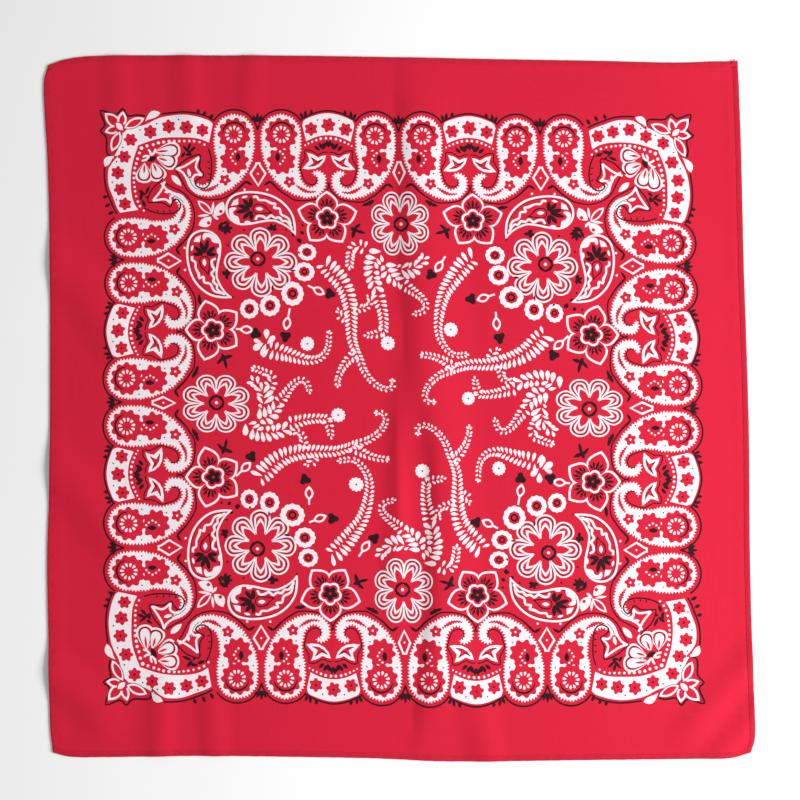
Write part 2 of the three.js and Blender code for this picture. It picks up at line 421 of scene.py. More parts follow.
def tulip():
    """The bud between two curled tails, with its dark contour."""
    return [
        (DARK, line([(-28, -33.7), (-27.6, -38), (-24, -40), (-19, -38), (-16.2, -32), (-14.9, -26.2),
                     (-17, -21.5), (-18.6, -18)], 0.9)),
        (DARK, line([(-18.6, -18), (-18.4, -15), (-18.8, -12.4), (-23.5, -12.6), (-29, -15.6), (-33, -14),
                     (-36.6, -13.6)], 0.9)),
        (WHITE, np.array([(-35.6, -16.2), (-32.2, -16.8), (-29.2, -18.2), (-25, -15.6), (-20.2, -14.3),
                          (-21.6, -18), (-22, -20.8), (-19.4, -23.6), (-16.4, -27.2), (-21, -27.8),
                          (-26.4, -27.2), (-30.6, -25), (-34, -21)])),
        (GROUND, np.array([(-33.4, -18.9), (-28.6, -20.8), (-23.4, -17.6), (-25.3, -22.6), (-21.5, -25.2),
                           (-26.5, -25), (-30.2, -22.9)])),
        (DARK, line([(-32.8, -19.3), (-30, -21.2), (-27.6, -22)], 0.8)),
        (DARK, line([(-26.8, -24.3), (-24, -25), (-21.2, -25.2)], 0.7)),
        (DARK, line([(-25.4, -20.2), (-23.5, -18)], 0.8)),
    ]


def arch():
    """The white arch over two tails, about its own upright middle line."""
    top = both_sides([(-20.8, 225), (-19.3, 228.8), (-14.3, 231.2), (-7.5, 233.4), (0, 234.4)])
    bottom = both_sides([(17.8, 212.3), (13.3, 214.5), (7.5, 216.5), (0, 217.4)])
    shapes = [(WHITE, np.concatenate([curve(top, 3), curve(bottom, 3)]))]
    for x, y, radius in ((0, 225.2, 5.6), (13.8, 222, 5.2), (-13.8, 222, 5.2)):
        shapes += [(GROUND, rosette(x, y, radius + 0.4, 6, 0.4, 12 + 3 * x)), (DARK, disc(x, y, 0.9, 6))]
    over = both_sides([(-22.5, 229), (-19, 230.8), (-13, 233.6), (-6, 235.6), (0, 236.3)])
    shapes += [(DARK, line(over, 1.4))]
    for s in (1, -1):
        shapes += dots(DARK, 0.6, (s * 8.6, 229))
        for x, y, radius in ((1.9, 214.9, 1.1), (6.1, 214.4, 1.1), (9.7, 213.3, 1), (13, 211.9, 0.9),
                             (16, 210.5, 0.8), (18.6, 209, 0.7)):
            shapes += dots(WHITE, radius, (s * x, y))
        shapes += [(DARK, leaf((s * 0.2, 211.8), (s * 4.4, 205.4), 1.7, 0.55, s * 1.2))]
        shapes += leaves(DARK, (0, 207.4, s * 1.6, 213.6, 1.2), (s * 4.4, 206, s * 7.6, 211.2, 1.5),
                         (s * 7, 205, s * 11.4, 208.8, 1.4),
                         (s * 14, 232.8, s * 13.2, 237.2, 1.3), (s * 18.6, 230.4, s * 18, 236.4, 1.3),
                         (s * 20, 230, s * 22.4, 234.6, 1.3))
    return shapes


def notch():
    """The dark crown and wedge in the notch between two heads."""
    shapes = leaves(
        DARK, (0, 227, 0, 234.4, 1.25), (-0.3, 227, -4, 232.6, 1.15), (0.3, 227, 4, 232.6, 1.15),
        (-1, 227.4, -6, 229.6, 0.9), (1, 227.4, 6, 229.6, 0.9))
    return shapes + [(DARK, np.array([(-2.9, 228), (2.9, 228), (0.5, 220.6), (-0.5, 220.6)])),
                     (GROUND, np.array([(-1.5, 227), (1.5, 227), (0, 223.6)]))]


def diamond(top, half, bottom):
    """A white outlined diamond with a dot in it."""
    y = top - 9.2
    white = [(1.9, top), (2.5, top - 2.4), (half + 0.4, y + 0.4), (half, y - 0.6), (0, bottom - 0.6)]
    inside = [(0.5, top - 1.5), (1.2, top - 3.2), (half - 1.4, y), (0, bottom + 1.5)]
    return [
        (WHITE, np.array(both_sides(white))),
        (GROUND, np.array(both_sides(inside))),
        (WHITE, disc(0, y, 0.8)),
    ]


HEAD_LINE = 216.3                      # how far the heads' centres are from the middle
HEADS = (-18.85, -93.75, -131.55)      # along the side
ARCH_AT = -56.3
NOTCH_AT = -112.65
border = moved(side_paisley + tulip(), MIDDLE[0] + HEADS[0], MIDDLE[1] + HEAD_LINE)
border += moved(side_paisley + tulip(), MIDDLE[0] + HEADS[1], MIDDLE[1] + HEAD_LINE, -1)
border += moved(corner_paisley, MIDDLE[0] + HEADS[2], MIDDLE[1] + HEAD_LINE)
border += moved(arch(), MIDDLE[0] + ARCH_AT, 0)
border += moved(notch() + diamond(195, 6.4, 175.8), MIDDLE[0] + NOTCH_AT, 0)
border += dots(WHITE, 1, (-122, 172.8), (-104, 172.8))
side_middle = moved(notch() + diamond(197.6, 5, 179), MIDDLE[0], 0)


# The corner: two white bands with rosettes, a flower in the very corner and a fan flower below it
def hollow_leaf(base, tip, half, edge=1.5):
    """A white leaf with the ground showing inside its edge."""
    base, tip = np.asarray(base, float), np.asarray(tip, float)
    along = (tip - base) / np.hypot(*(tip - base))
    return [(WHITE, leaf(base, tip, half)),
            (GROUND, leaf(base + along * edge * 1.3, tip - along * edge * 1.6, half - edge))]


FAN_GAP = 3              # from a fan petal out to its white loop


def fan_petal(base, tip, half):
    """The layers of a fan petal: a white loop, the ground, a dark line, and a white drop with a slit."""
    base, tip = np.asarray(base, float), np.asarray(tip, float)
    along = (tip - base) / np.hypot(*(tip - base))
    return (
        [(WHITE, drop(base, tip + along * FAN_GAP, half + FAN_GAP))],
        [(GROUND, drop(base, tip + along * (FAN_GAP - 1.5), half + FAN_GAP - 1.5))],
        [
            (DARK, drop(base, tip + along, half + 0.9)),
            (GROUND, drop(base, tip + along * 0.5, half + 0.45)),
            (WHITE, drop(base, tip, half)),
            (GROUND, leaf(base + along * 1.5, base + (tip - base) * 0.66, 0.9)),
        ],
    )


def tail_flower(lip, curl, contour):
    """The open flower of a corner tail: two white lines that meet at its tip, a curl and a contour."""
    return [(WHITE, line(lip[:3], 1.7, 3)), (WHITE, line(lip[2:], 1.7, 3)), (WHITE, line(curl, 1.8)),
            (DARK, line(contour, 1.2))]


corner = [
    (DARK, line([(-187, 233.6), (-178, 234.6), (-168, 235), (-158, 233.6),
                 (-150, 231.2), (-146.6, 228.6)], 1.4)),
    (DARK, line([(-232.6, 190), (-232.8, 182), (-231.8, 173), (-228.8, 164),
                 (-226, 156.6), (-223.6, 152)], 1.4)),
    (WHITE, np.concatenate([
        curve([(-216, 219), (-213, 221.4), (-200, 225), (-190, 230), (-180, 232.2), (-170, 232.9),
               (-160, 231.6), (-150, 228.6), (-146.6, 225.6)], 3),
        curve([(-149.6, 211), (-155, 213.4), (-162, 214.9), (-172, 215.3), (-185, 215), (-195, 212.6),
               (-205.6, 208.6)], 3)])),
    (WHITE, np.concatenate([
        curve([(-216, 219), (-218.6, 216), (-221.6, 205), (-226, 197), (-229, 190), (-230, 182),
               (-229.2, 174), (-226, 165), (-223.4, 157.4), (-221, 152.8)], 3),
        curve([(-206.4, 155.4), (-209.6, 161), (-211.4, 168), (-212, 178), (-211.2, 189), (-209.2, 198),
               (-206.8, 205), (-205.6, 208.6)], 3)])),
]
for x, y, radius, turn in ((-211.5, 212.8, 5.2, 0), (-195.9, 219.4, 5.4, 30), (-181.3, 223.8, 5.4, 35),
                           (-167.4, 223.1, 5.4, 10), (-154.7, 220.8, 5, 30), (-216.7, 199, 5.2, 0),
                           (-222.1, 185.8, 5.4, 25), (-220.3, 172.2, 5.2, 10), (-216.9, 160.2, 5.2, 25)):
    corner += [(GROUND, rosette(x, y, radius + 0.3, 6, 0.38, turn)), (DARK, disc(x, y, 0.95, 6))]
corner += dots(DARK, 0.65, (-204, 220.8), (-190.8, 226), (-173.5, 229.3), (-217.8, 206.5), (-223, 194.8),
               (-226.6, 177.9), (-223.7, 163.4))
for radius, *places in (
    (1.5, (-203, 206.4)),
    (1.3, (-198.6, 208.2), (-189.5, 210.8), (-185.4, 211.5), (-181, 212.1), (-209, 185.8)),
    (1.2, (-193.6, 209.3), (-177, 212.2), (-204.6, 202.3), (-206.2, 197.6), (-208.5, 190)),
    (1.1, (-173, 212.3), (-207.3, 193.7), (-209.4, 181.7), (-205, 158.5)),
    (1, (-169, 212.3), (-165, 212.3), (-161.3, 212.2), (-209.4, 178.1), (-209, 174.4), (-208.6, 170.8),
     (-206.6, 162.3)),
    (0.9, (-157, 211.5), (-153.2, 209.4), (-207.9, 166.7), (-202, 155)),
):
    corner += dots(WHITE, radius, *places)
corner += [(DARK, line([(-224, 199), (-230.4, 201.4), (-230.6, 214), (-235.2, 219.4), (-231.4, 224.4),
                        (-234.8, 235.4), (-223, 232.2), (-217.6, 237.2), (-213.8, 231.6), (-206, 232.6),
                        (-200, 231.6)], 1.5, 3))]
for base, tip, half in (((-219, 222), (-231.4, 233.4), 4.6), ((-219, 222), (-217.2, 235), 3.6),
                        ((-219, 222), (-231.8, 218.6), 3.4), ((-216.4, 222), (-200.6, 230.2), 3.9),
                        ((-219.8, 219), (-226.6, 203), 3.9)):
    corner += hollow_leaf(base, tip, half)
corner += [
    (GROUND, rosette(-220, 222.6, 4.4, 5, 0.3, 20)), (WHITE, leaf((-222.8, 226), (-217.6, 220.2), 2.2)),
    (DARK, line([(-214, 221), (-208, 222.4), (-203, 226), (-200.4, 229)], 0.5)),
    (DARK, line([(-218, 217), (-218.8, 211), (-222, 205.6), (-225.4, 203)], 0.5)),
    (GROUND, line([(-201, 225.6), (-195, 229), (-189, 231)], 1.6)),
    (WHITE, leaf((-200, 227.6), (-188, 234.6), 2.8, 0.62, 1.6)),
    (GROUND, line([(-222.6, 199.4), (-226.8, 194.6), (-229.6, 190)], 1.6)),
    (WHITE, leaf((-224.6, 199.6), (-232.2, 190.6), 2.7, 0.6, -1.6)),
]
fan = [fan_petal((-193, 203.4), (-175.2, 205), 3.9), fan_petal((-191.5, 199), (-177.8, 195), 3.9),
       fan_petal((-194.4, 195.6), (-189.4, 182.6), 3.9), fan_petal((-200.6, 194.6), (-201.6, 180.8), 3.7)]
for layer in zip(*fan):
    for petal in layer:
        corner += petal
corner += [
    (GROUND, rosette(-196, 199, 5.4, 6, 0.2)), (DARK, leaf((-198.6, 195.8), (-190.8, 199.6), 2)),
    (WHITE, band([(-195.6, 200.4, 0.8), (-196, 203, 0.9), (-197.6, 205.4, 0.7)], 3)),
    (WHITE, band([(-195.4, 200.6, 0.8), (-193, 202.8, 0.9), (-191.8, 206, 0.7)], 3)),
    (WHITE, band([(-196.6, 199.8, 0.8), (-199.6, 200, 0.9), (-202, 199, 0.7)], 3)),
    (WHITE, band([(-197, 199.4, 0.8), (-199.4, 197, 0.9), (-203, 196, 0.7)], 3)),
    (WHITE, leaf((-179.4, 184.6), (-171.8, 175.8), 2.3, 0.45)),
]
corner += tail_flower(
    [(-176, 189.6), (-169, 192), (-157.5, 199.4), (-160.2, 191), (-155.2, 184.6)],
    [(-155.2, 184.6), (-160.4, 185), (-163, 181.4), (-161.6, 176.6), (-156, 174)],
    [(-177, 190), (-172.3, 193.7), (-166.8, 198), (-157.4, 201.4), (-156.8, 196), (-157, 190.6),
     (-154.1, 184.4), (-158, 181.8), (-160.8, 178.1), (-158.5, 175), (-153.5, 174), (-149.4, 178.1),
     (-148, 187), (-148, 198), (-150, 206)])
corner += tail_flower(
    [(-184.8, 179.4), (-188, 171.8), (-194.6, 163.2), (-185, 164.6), (-180.4, 161.2)],
    [(-180.4, 161.2), (-180.6, 166.4), (-176.4, 169), (-171, 167), (-168.8, 161.6)],
    [(-186, 182), (-190.4, 177.6), (-195.8, 171.4), (-198.6, 162.4), (-192.2, 162), (-186.2, 161.4),
     (-181, 158.4), (-179, 162.5), (-176.2, 165), (-173, 162), (-173.4, 157), (-178, 153.4), (-186, 152.4),
     (-194.5, 153.8), (-202, 157)])
corner += leaves(WHITE, (-166.4, 190, -164.6, 183.4, 1.4), (-185.6, 170.4, -179.4, 171.4, 1.4))
corner += leaves(
    DARK,
    (-149, 180, -151.6, 181, 0.6), (-148.6, 185, -151.2, 186, 0.6), (-148.6, 190, -151.2, 190.6, 0.6),
    (-148.6, 195, -151.4, 195.6, 0.6), (-181, 153.6, -181.6, 156.2, 0.6), (-186, 153, -186.4, 155.6, 0.6),
    (-191, 153.6, -191, 156.2, 0.6), (-163, 201, -170.6, 209, 1.3), (-166, 205, -164.4, 211, 1.2),
    (-165, 203.4, -160, 208, 1.2),
    (-163, 201, -168.8, 201.6, 1.3), (-168.6, 203.6, -171.4, 199, 1.2), (-205.8, 172, -200.4, 167.4, 1.5),
    (-200.4, 168, -197, 175.6, 1.2), (-203.4, 170, -204.4, 163, 1.4), (-203, 164, -200.8, 157.6, 1.4),
    (-200.6, 166.6, -197.6, 165.6, 1.1), (-158.6, 233, -157.4, 237.2, 1.4),
    (-154, 231.4, -152.2, 235.8, 1.4),
    (-149, 229, -146.4, 233.6, 1.4), (-230.4, 166.6, -234.6, 165, 1.4), (-228.6, 160, -233.2, 157.6, 1.4),
    (-226, 154, -230.6, 151, 1.4))

# The four-leaved sprig inside the corner
corner += hollow_leaf((-147.6, 152.6), (-159.2, 163.8), 3.1, 1.3) + [
    (WHITE, leaf((-146.6, 151.2), (-139, 163), 3.9, 0.5, -1.2)), (GROUND, rosette(-141, 155, 1.5, 4, 0.2)),
    (WHITE, leaf((-147.8, 153.6), (-146.6, 163), 1)),
    (WHITE, leaf((-148.6, 150.4), (-158.8, 143.4), 3.9, 0.5, 1.2)),
    (GROUND, rosette(-150.8, 145.6, 1.6, 4, 0.2)),
    (WHITE, leaf((-150, 152.2), (-159.4, 151), 1)),
    (WHITE, band([(-147.4, 152, 0.5), (-145, 149.8, 1.1), (-143.2, 148.6, 0.5)], 3)),
]


# The ring of flowers
def teardrop():
    """The big drop on its side: a white outline, a dark line, a burst, a small drop and ragged lines."""
    rows = [(-122, 158.4, 13.6), (-116, 159.2, 13.7), (-108, 159.6, 12.6), (-100, 158.6, 11),
            (-93, 155.6, 8.8), (-87, 150.2, 6.4), (-83, 143.8, 3.2), (-80.6, 137.2, 0.3)]
    hollow = [(x, y, half - 1.75) for x, y, half in rows[:-2]] + [(-82.9, 143.4, 1.3), (-81.6, 140.6, 0.1)]
    contour = [(x, y, half - 2.1) for x, y, half in rows[:-2]] + [(-83, 143.6, 0.9), (-81.9, 141.2, 0.1)]
    inside = [(x, y, max(half - 0.5, 0.05)) for x, y, half in contour]
    shapes = [
        (WHITE, band(rows, 4, True)), (GROUND, band(hollow, 3, True)), (DARK, band(contour, 3, True)),
        (GROUND, band(inside, 3, True)),
        (WHITE, np.array([(-131, 160.8), (-129, 165), (-125.2, 166.8), (-125.2, 161.8)])),
        (WHITE, curve([(-132.6, 158), (-129, 159.6), (-126.6, 158.6), (-129.4, 156), (-128.6, 153.2),
                       (-125.4, 151.6), (-124.6, 146.4), (-129, 148.6), (-132.2, 153)], 3, True)),
        (WHITE, band([(-113.4, 168, 0.9), (-110.4, 168.2, 1), (-108.6, 165.6, 0.9), (-104, 165.4, 0.8),
                      (-99, 163, 1.1), (-95.6, 162.6, 0.7), (-97, 159.4, 1), (-92.6, 158.6, 0.9),
                      (-91.4, 154, 0.9), (-86, 151, 0.9), (-84, 146, 0.8)], 3)),
        (WHITE, band([(-112, 149.4, 0.9), (-110, 152.6, 1), (-106, 152.2, 1), (-103, 150.6, 1),
                      (-99.6, 153, 1), (-96.4, 151, 0.9), (-93, 151.4, 1.1), (-90.4, 148.6, 0.9),
                      (-87.4, 148.6, 0.8), (-84, 144.4, 1), (-82.8, 142.4, 0.5)], 3)),
    ]
    shapes += leaves(WHITE, (-122.6, 167.4, -117.6, 168.6, 1), (-121, 147.4, -115.6, 147.4, 1.2))
    for tip in ((-127.7, 155.2), (-126, 161.4), (-121.6, 166.6), (-115.4, 168),
                (-121.8, 149.6), (-115.4, 148.6)):
        shapes += [(DARK, leaf((-114.8, 158.2), tip, 1.75, 0.6, blunt=0.9))]
    return shapes + [
        (GROUND, rosette(-114.6, 158, 2, 5, 0.3)),
        (DARK, band([(-109.6, 158.2, 4.4), (-106, 157.8, 4), (-102.6, 156.4, 2.2),
                     (-98.4, 155.2, 0.2)], 4, True)),
        (GROUND, band([(-109.6, 158.2, 3.5), (-106.4, 157.8, 3), (-103, 156.6, 1.4),
                       (-100.4, 155.8, 0.1)], 4, True)),
        (WHITE, leaf((-111.6, 158.6), (-105.6, 158.2), 1.5)),
    ]


DAISY_REACH = 28.3
DAISY = (   # each layer of a petal along its axis: (distance from the centre, half-width)
    (WHITE, ((10, 4), (14, 6.1), (18, 7.6), (21, 8.1), (24, 7.4), (26.3, 5.3), (27.7, 2.8), (28.3, 0))),
    (GROUND, ((11, 3.9), (14, 5.2), (18, 6.3), (21, 6.7), (23.9, 5.9), (25.6, 4.1), (26.4, 2.1), (26.8, 0))),
    (DARK, ((11, 3.5), (14, 4.9), (18, 5.8), (21, 6.1), (23.7, 5.3), (25.3, 3.6), (26, 1.8), (26.3, 0))),
    (GROUND, ((11, 3.3), (14, 4.6), (18, 5.4), (21, 5.7), (23.4, 4.9), (24.9, 3.2), (25.9, 0))),
    (WHITE, ((9, 3.6), (12, 4.2), (14, 4.5), (18, 4.9), (21, 5), (23, 4.1), (24.3, 2.5), (25.2, 0))),
    (GROUND, ((11, 2.6), (14, 3.1), (18, 3.5), (20.8, 3.4), (22.5, 2.4), (23.6, 0))),
    (WHITE, ((12, 3), (15.6, 3.2), (18.2, 2.5), (20.3, 1.2), (21.6, 0))),
    (GROUND, ((6, 2.5), (9, 3), (12, 3.1), (14.4, 2.8), (16.4, 1.8), (18.8, 0))),
)


def daisy(x, y, half_wide, half_high, turn, ring_x, ring_y):
    """An eight-petalled flower of nested loops, with a dark ring about its heart."""
    shapes = []
    for ink, rows in DAISY:
        petal = [(ink, band([(reach, 0, half) for reach, half in rows], 2 if rows[-1][0] > 25 else 1))]
        for k in range(8):
            shapes += moved(petal, 0, 0, 1, turn + 45 * k)
    scale = np.array((half_wide, half_high)) / DAISY_REACH
    shapes = [(ink, outline * scale + (x, y)) for ink, outline in shapes]
    return shapes + [(GROUND, disc(x, y, 9.2 * scale[0], 24)), (DARK, rosette(ring_x, ring_y, 6.3, 9, 0.07)),
                     (GROUND, rosette(ring_x, ring_y, 4.4, 4, 0.22)), (WHITE, disc(ring_x, ring_y, 1.3))]


def blossom(x, y):
    """A flower of five hollow petals with dark marks, about a scalloped ring and a dark heart."""
    tips = np.array([(0, 22.3), (24.2, 6.6), (12.2, -19.2), (-14.8, -18.8), (-23.8, 6.6)])
    mark = leaves(DARK, (9.2, 0, 17, 0, 1.1), (9.4, 1, 15.8, 4.2, 1), (9.4, -1, 15.8, -4.2, 1),
                  (9, 2.4, 12.6, 5.8, 0.8), (9, -2.4, 12.6, -5.8, 0.8))
    mark += dots(GROUND, 0.7, (12, 1.5), (12, -1.5))
    shapes = [(WHITE, leaf((0, 0), tip, 8.9, 0.56, blunt=0.92, points=6)) for tip in tips]
    for tip in tips:
        reach = np.hypot(*tip)
        shapes += [(GROUND, leaf(tip * 0.04, tip * (1 - 2.1 / reach), 7.5, 0.56, blunt=0.92, points=6))]
        shapes += moved(mark, 0, 0, 1, math.degrees(math.atan2(tip[1], tip[0])))
    shapes += [(WHITE, rosette(0, 0, 9.4, 5, 0.2, 18, 8)), (GROUND, rosette(0, 0, 7.6, 5, 0.24, 18, 8)),
               (DARK, rosette(0, 0, 6, 5, 0.36, 18, 6)), (GROUND, disc(0, 0, 1))]
    return moved(shapes, x, y)


corner += daisy(-110.6, 113.8, 28.9, 28.4, 0, -113, 116.2)
for x, y, half_wide, half_high in ((-73.7, 122.4, 7.8, 7), (-76.3, 106.4, 8.6, 7.8), (-86, 88.6, 9.2, 9.8),
                                   (-103.8, 78.9, 8.2, 8.5), (-119.8, 76.3, 7.4, 7.9)):
    wide = half_wide / half_high
    corner += [
        (WHITE, rosette(x, y, half_high, 12, 0.1, wide=wide)),
        (GROUND, rosette(x, y, half_high * 0.54, 8, 0.12, wide=wide)),
        (DARK, disc(x, y, half_high * 0.33, 12)),
        (GROUND, disc(x, y, half_high * 0.18)),
    ]
corner += leaves(
    DARK,
    (-137, 141.6, -131.6, 141.4, 1.4), (-138, 142, -133.4, 137, 1.4), (-138.6, 142, -137.4, 135.6, 1.4),
    (-138.6, 141, -134, 146, 1.3), (-140.6, 144.6, -134.6, 147.2, 1.2), (-140, 146.6, -143, 139, 1.7),
    (-138, 143, -141, 138, 1.5), (-101, 140, -101.8, 145.6, 1.4), (-101, 140, -97.6, 145, 1.4),
    (-101, 140, -104.8, 142.4, 1.3), (-101, 140, -97, 141, 1.3), (-137.6, 102.6, -141, 106.4, 1.5),
    (-137.6, 102.6, -136.8, 108.4, 1.6), (-137.6, 103, -134.4, 106, 1.4), (-137.4, 104, -137.4, 99.4, 1.4),
    (-84.6, 138.6, -83.8, 134.6, 1.3), (-78.6, 139.4, -75.6, 137, 1.5), (-77.6, 145, -75.4, 143.6, 0.9),
    (-82, 132.6, -77.4, 131.4, 1.7), (-80, 132, -78.4, 129.6, 1.2), (-159.4, 87.6, -158, 81, 1.2),
    (-160, 85, -157, 78, 1.4), (-88, 107, -83, 107, 0.7), (-101.6, 95.4, -102.4, 90.6, 0.9),
    (-81.4, 123, -79.4, 121, 0.8))
corner += dots(DARK, 0.9, (-136, 127.4), (-123, 140), (-90, 140.4), (-132.6, 85.4))
side_middle += daisy(1.5, 147.6, 24.2, 27.4, 22.5, 2.3, 147.4)
flowers = moved(teardrop(), -1.9, -1.1) + blossom(-56.6, 150.4)
flowers += leaves(
    DARK,
    (-36.4, 141.6, -29.6, 147.2, 1.3), (-38.6, 143.4, -31, 140.4, 1.8), (-34.4, 142.8, -37, 134.8, 1.6),
    (-35, 141.4, -26, 139.4, 1.3), (-28.8, 161.6, -21.6, 164, 1.4), (-24.6, 162.8, -18.4, 166.4, 1.5),
    (-24, 165.8, -22, 161.2, 1))


# Sprays of white leaves on curved stems
def spray(stem, fat, thin, inner=-1):
    """Pairs of blunt leaves along a stem. They shrink from fat to thin, and lean ahead more and more.
    The long ones are cut back on the inner side: 1 is left, -1 is right."""
    spine = curve(stem, 12)
    run = np.concatenate([[0], np.cumsum(np.linalg.norm(np.diff(spine, axis=0), axis=1))])
    left = leftward(spine)
    ahead = left[:, ::-1] * (1, -1)
    shapes = []
    at = 0
    while at < run[-1]:
        size = thin + (fat - thin) * (1 - at / run[-1]) ** 1.8
        lean = 1.3 - 0.13 * size - 0.5 * math.exp(-at / 5)
        k = np.searchsorted(run, at)
        for side in (1, -1):
            base = spine[k] + left[k] * side * 0.3 + ahead[k] * (0.2 * size if side > 0 else 0)
            reach = (ahead[k] * lean + left[k] * side) / math.hypot(lean, 1)
            long = size - (0.1 * max(size - 4, 0) ** 2 if side == inner else 0)
            shapes.append((WHITE, frond(base, base + reach * long, 0.54 + 0.12 * long)))
        at += 3 + 0.06 * size
    return shapes + [(WHITE, frond(spine[-1], spine[-1] + ahead[-1] * thin, 0.4 + 0.17 * thin))]


def fronds(*rows):
    """White leaves placed one by one, from rows of base x and y, tip x and y, and half-width."""
    return [(WHITE, frond((a, b), (c, d), half)) for a, b, c, d, half in rows]


def bud(loop, stem, blot):
    """A small hollow bud on its stem, and the dark three-lobed blot ahead of it."""
    loop, stem = np.asarray(loop, float), np.asarray(stem, float)
    turn = math.degrees(math.atan2(blot[1] - loop[1], blot[0] - loop[0]))
    out = (loop - stem) / np.hypot(*(loop - stem))
    return [(WHITE, leaf(loop - out * 5.4, loop + out * 6, 3.4, blunt=0.85)),
            (GROUND, leaf(loop - out * 3.2, loop + out * 3.6, 1.9, blunt=0.85)),
            (WHITE, line([stem, (stem + loop - out * 4.6) / 2, loop - out * 4.6], 1.5, 3)),
            (DARK, rosette(*blot, 4.9, 3, 0.5, turn))]


def small_flower(x, y):
    """A white scalloped disc with a dark point."""
    return [(WHITE, rosette(x, y, 5.7, 12, 0.15, points=4)), (DARK, disc(x, y, 0.75, 6))]


stems = spray([(-60, 112.2), (-55, 107), (-48, 100), (-43, 92), (-40.5, 84), (-39, 75), (-38.5, 65),
               (-38, 55), (-35.5, 46), (-32, 38), (-28, 28), (-22, 20), (-15, 15.5), (-10, 15.2),
               (-7, 18), (-7, 21)], 10, 2.7)
stems += spray([(-36, 79), (-30, 78.4), (-25.6, 80), (-23, 84), (-24.4, 87)], 4.4, 2.9)
stems += spray([(-17, 89), (-15.6, 84), (-13.6, 77), (-12.6, 69), (-12.6, 60)], 5.8, 4.2)
stems += spray([(-14, 60), (-19, 58), (-26, 57)], 4.2, 2.9)
stems += spray([(-43, 70.6), (-46.8, 71.6), (-48.4, 76)], 4.4, 2.9)
stems += small_flower(-9.5, 51)
branch = spray([(-34, 42), (-40, 38), (-46, 30), (-49.2, 22), (-49.5, 17.5)], 5, 2.9)
other_branch = spray([(-34, 41), (-37.6, 35), (-40.6, 28.6), (-42.4, 21.4), (-42.8, 16.4)], 5, 2.9)
cluster = spray([(3, 98.6), (8, 94.6), (13, 91), (17.4, 87.4), (20.6, 83), (20.6, 78.6),
                 (17, 75.8), (12.5, 74.5)], 5, 2.7)
cluster += fronds(
    (-14, 124.8, -23.6, 125, 2.4), (-18, 119, -26.6, 120.4, 2.1), (-19.4, 115.6, -28, 115.8, 1.9),
    (-20, 112.2, -28.4, 110.6, 1.8), (-20.8, 109, -28, 105, 1.9), (-20.8, 105, -26, 99.2, 1.7),
    (-20.2, 101, -24.4, 94.4, 1.7), (-19, 96, -21.2, 88.4, 1.6), (-14.2, 122.4, -12.8, 116.2, 1.4),
    (-17.6, 119.4, -14.6, 113.8, 1.4), (-19, 116.2, -17, 110.6, 1.6), (-20.2, 107.4, -15.4, 107.2, 1.8),
    (-20.2, 103, -14.6, 103.2, 1.7), (-19.6, 100.6, -13.4, 98.2, 2), (-18.8, 96.2, -12, 92.4, 1.9))
cluster += fronds(
    (-1.6, 113.6, -10.4, 114, 2.1), (-0.6, 110, -9, 109.4, 1.9), (1.6, 107, -6.4, 105.2, 1.8),
    (4.4, 103.2, -3, 102.8, 1.6), (-14.2, 108.6, -11.4, 113.2, 1.8), (-9.4, 108.8, -14, 103.4, 1.9),
    (-7.4, 106.6, -8.6, 98.6, 2.1), (-4, 102.6, -3.4, 96, 1.5), (-0.6, 100.4, 0.6, 95, 1.2),
    (2, 110.2, 8, 102.4, 1.9), (6.6, 110.6, 12.4, 103, 1.9), (10.4, 110.6, 17, 106.2, 1.8),
    (-1.4, 111.8, 1.6, 114.4, 1.1), (2, 111, 8.2, 115.6, 1.4), (8, 111, 10, 116, 1.1),
    (12, 112, 14.6, 118.2, 1.4), (15.4, 115.6, 17, 121, 1.4), (18.4, 118, 18.6, 123.8, 1.3),
    (12.8, 111.8, 19.2, 112.8, 1.4), (17.6, 115, 23.8, 115.4, 1.5), (19.6, 118.6, 24.4, 120.4, 1.3))
half_turn = spray([(-104, 45.6), (-97, 43.4), (-90, 41.4), (-82, 38.8), (-74, 36.8), (-66, 37.4),
                   (-60, 41.4), (-56.8, 48), (-56, 58)], 8.4, 2.7, 1) + small_flower(-73.5, 49.5)
half_turn += fronds(
    (-106, 52.6, -106, 60.6, 2.4), (-105.4, 49, -99.4, 55.2, 2.3), (-109.8, 50, -116, 52, 1.7),
    (-108.4, 49.6, -116.4, 44.4, 2.7), (-106.4, 49, -109.6, 39.4, 2.2))
half_turn += spray([(58.4, 118.8), (55, 116), (49, 109.6), (42.4, 101), (36.8, 92.5), (33.4, 83), (31.6, 74),
                    (30.6, 64), (32, 55), (37, 47), (43, 43.5), (52, 44.5)], 10, 2.7, 1)
half_turn += small_flower(40.5, 62.5)
half_turn += spray([(-27, 127.2), (-32.4, 129), (-37, 125.6), (-38.8, 119), (-39.4, 112.6)], 5.8, 4, 1)
half_turn += spray([(-103.4, 15), (-101.4, 19.4), (-102.4, 24), (-107, 26.6), (-112, 28.6),
                    (-115, 29.4)], 5, 3.2)
for loop, stem, blot in (
    ((32, 113), (37, 121), (25.5, 106)), ((-122.5, -49), (-130, -56), (-118, -40.5)),
    ((-122, 60), (-130, 60.5), (-114.5, 57)),
):
    half_turn += bud(loop, stem, blot)
singles = []
for loop, stem, blot in (
    ((-65, 91.5), (-73.5, 95.5), (-55.5, 89.5)), ((-90, 65.5), (-88, 77), (-91, 55)),
    ((67, 88), (76, 91), (57, 87)), ((77, 68), (76.5, 77), (79, 57)), ((-73, -69), (-73, -78), (-76, -58)),
    ((-65, -88.5), (-73, -92), (-55, -88.5)), ((94, -65), (92, -76), (94, -55)),
    ((68, -91), (76, -95), (58, -90)),
):
    singles += bud(loop, stem, blot)

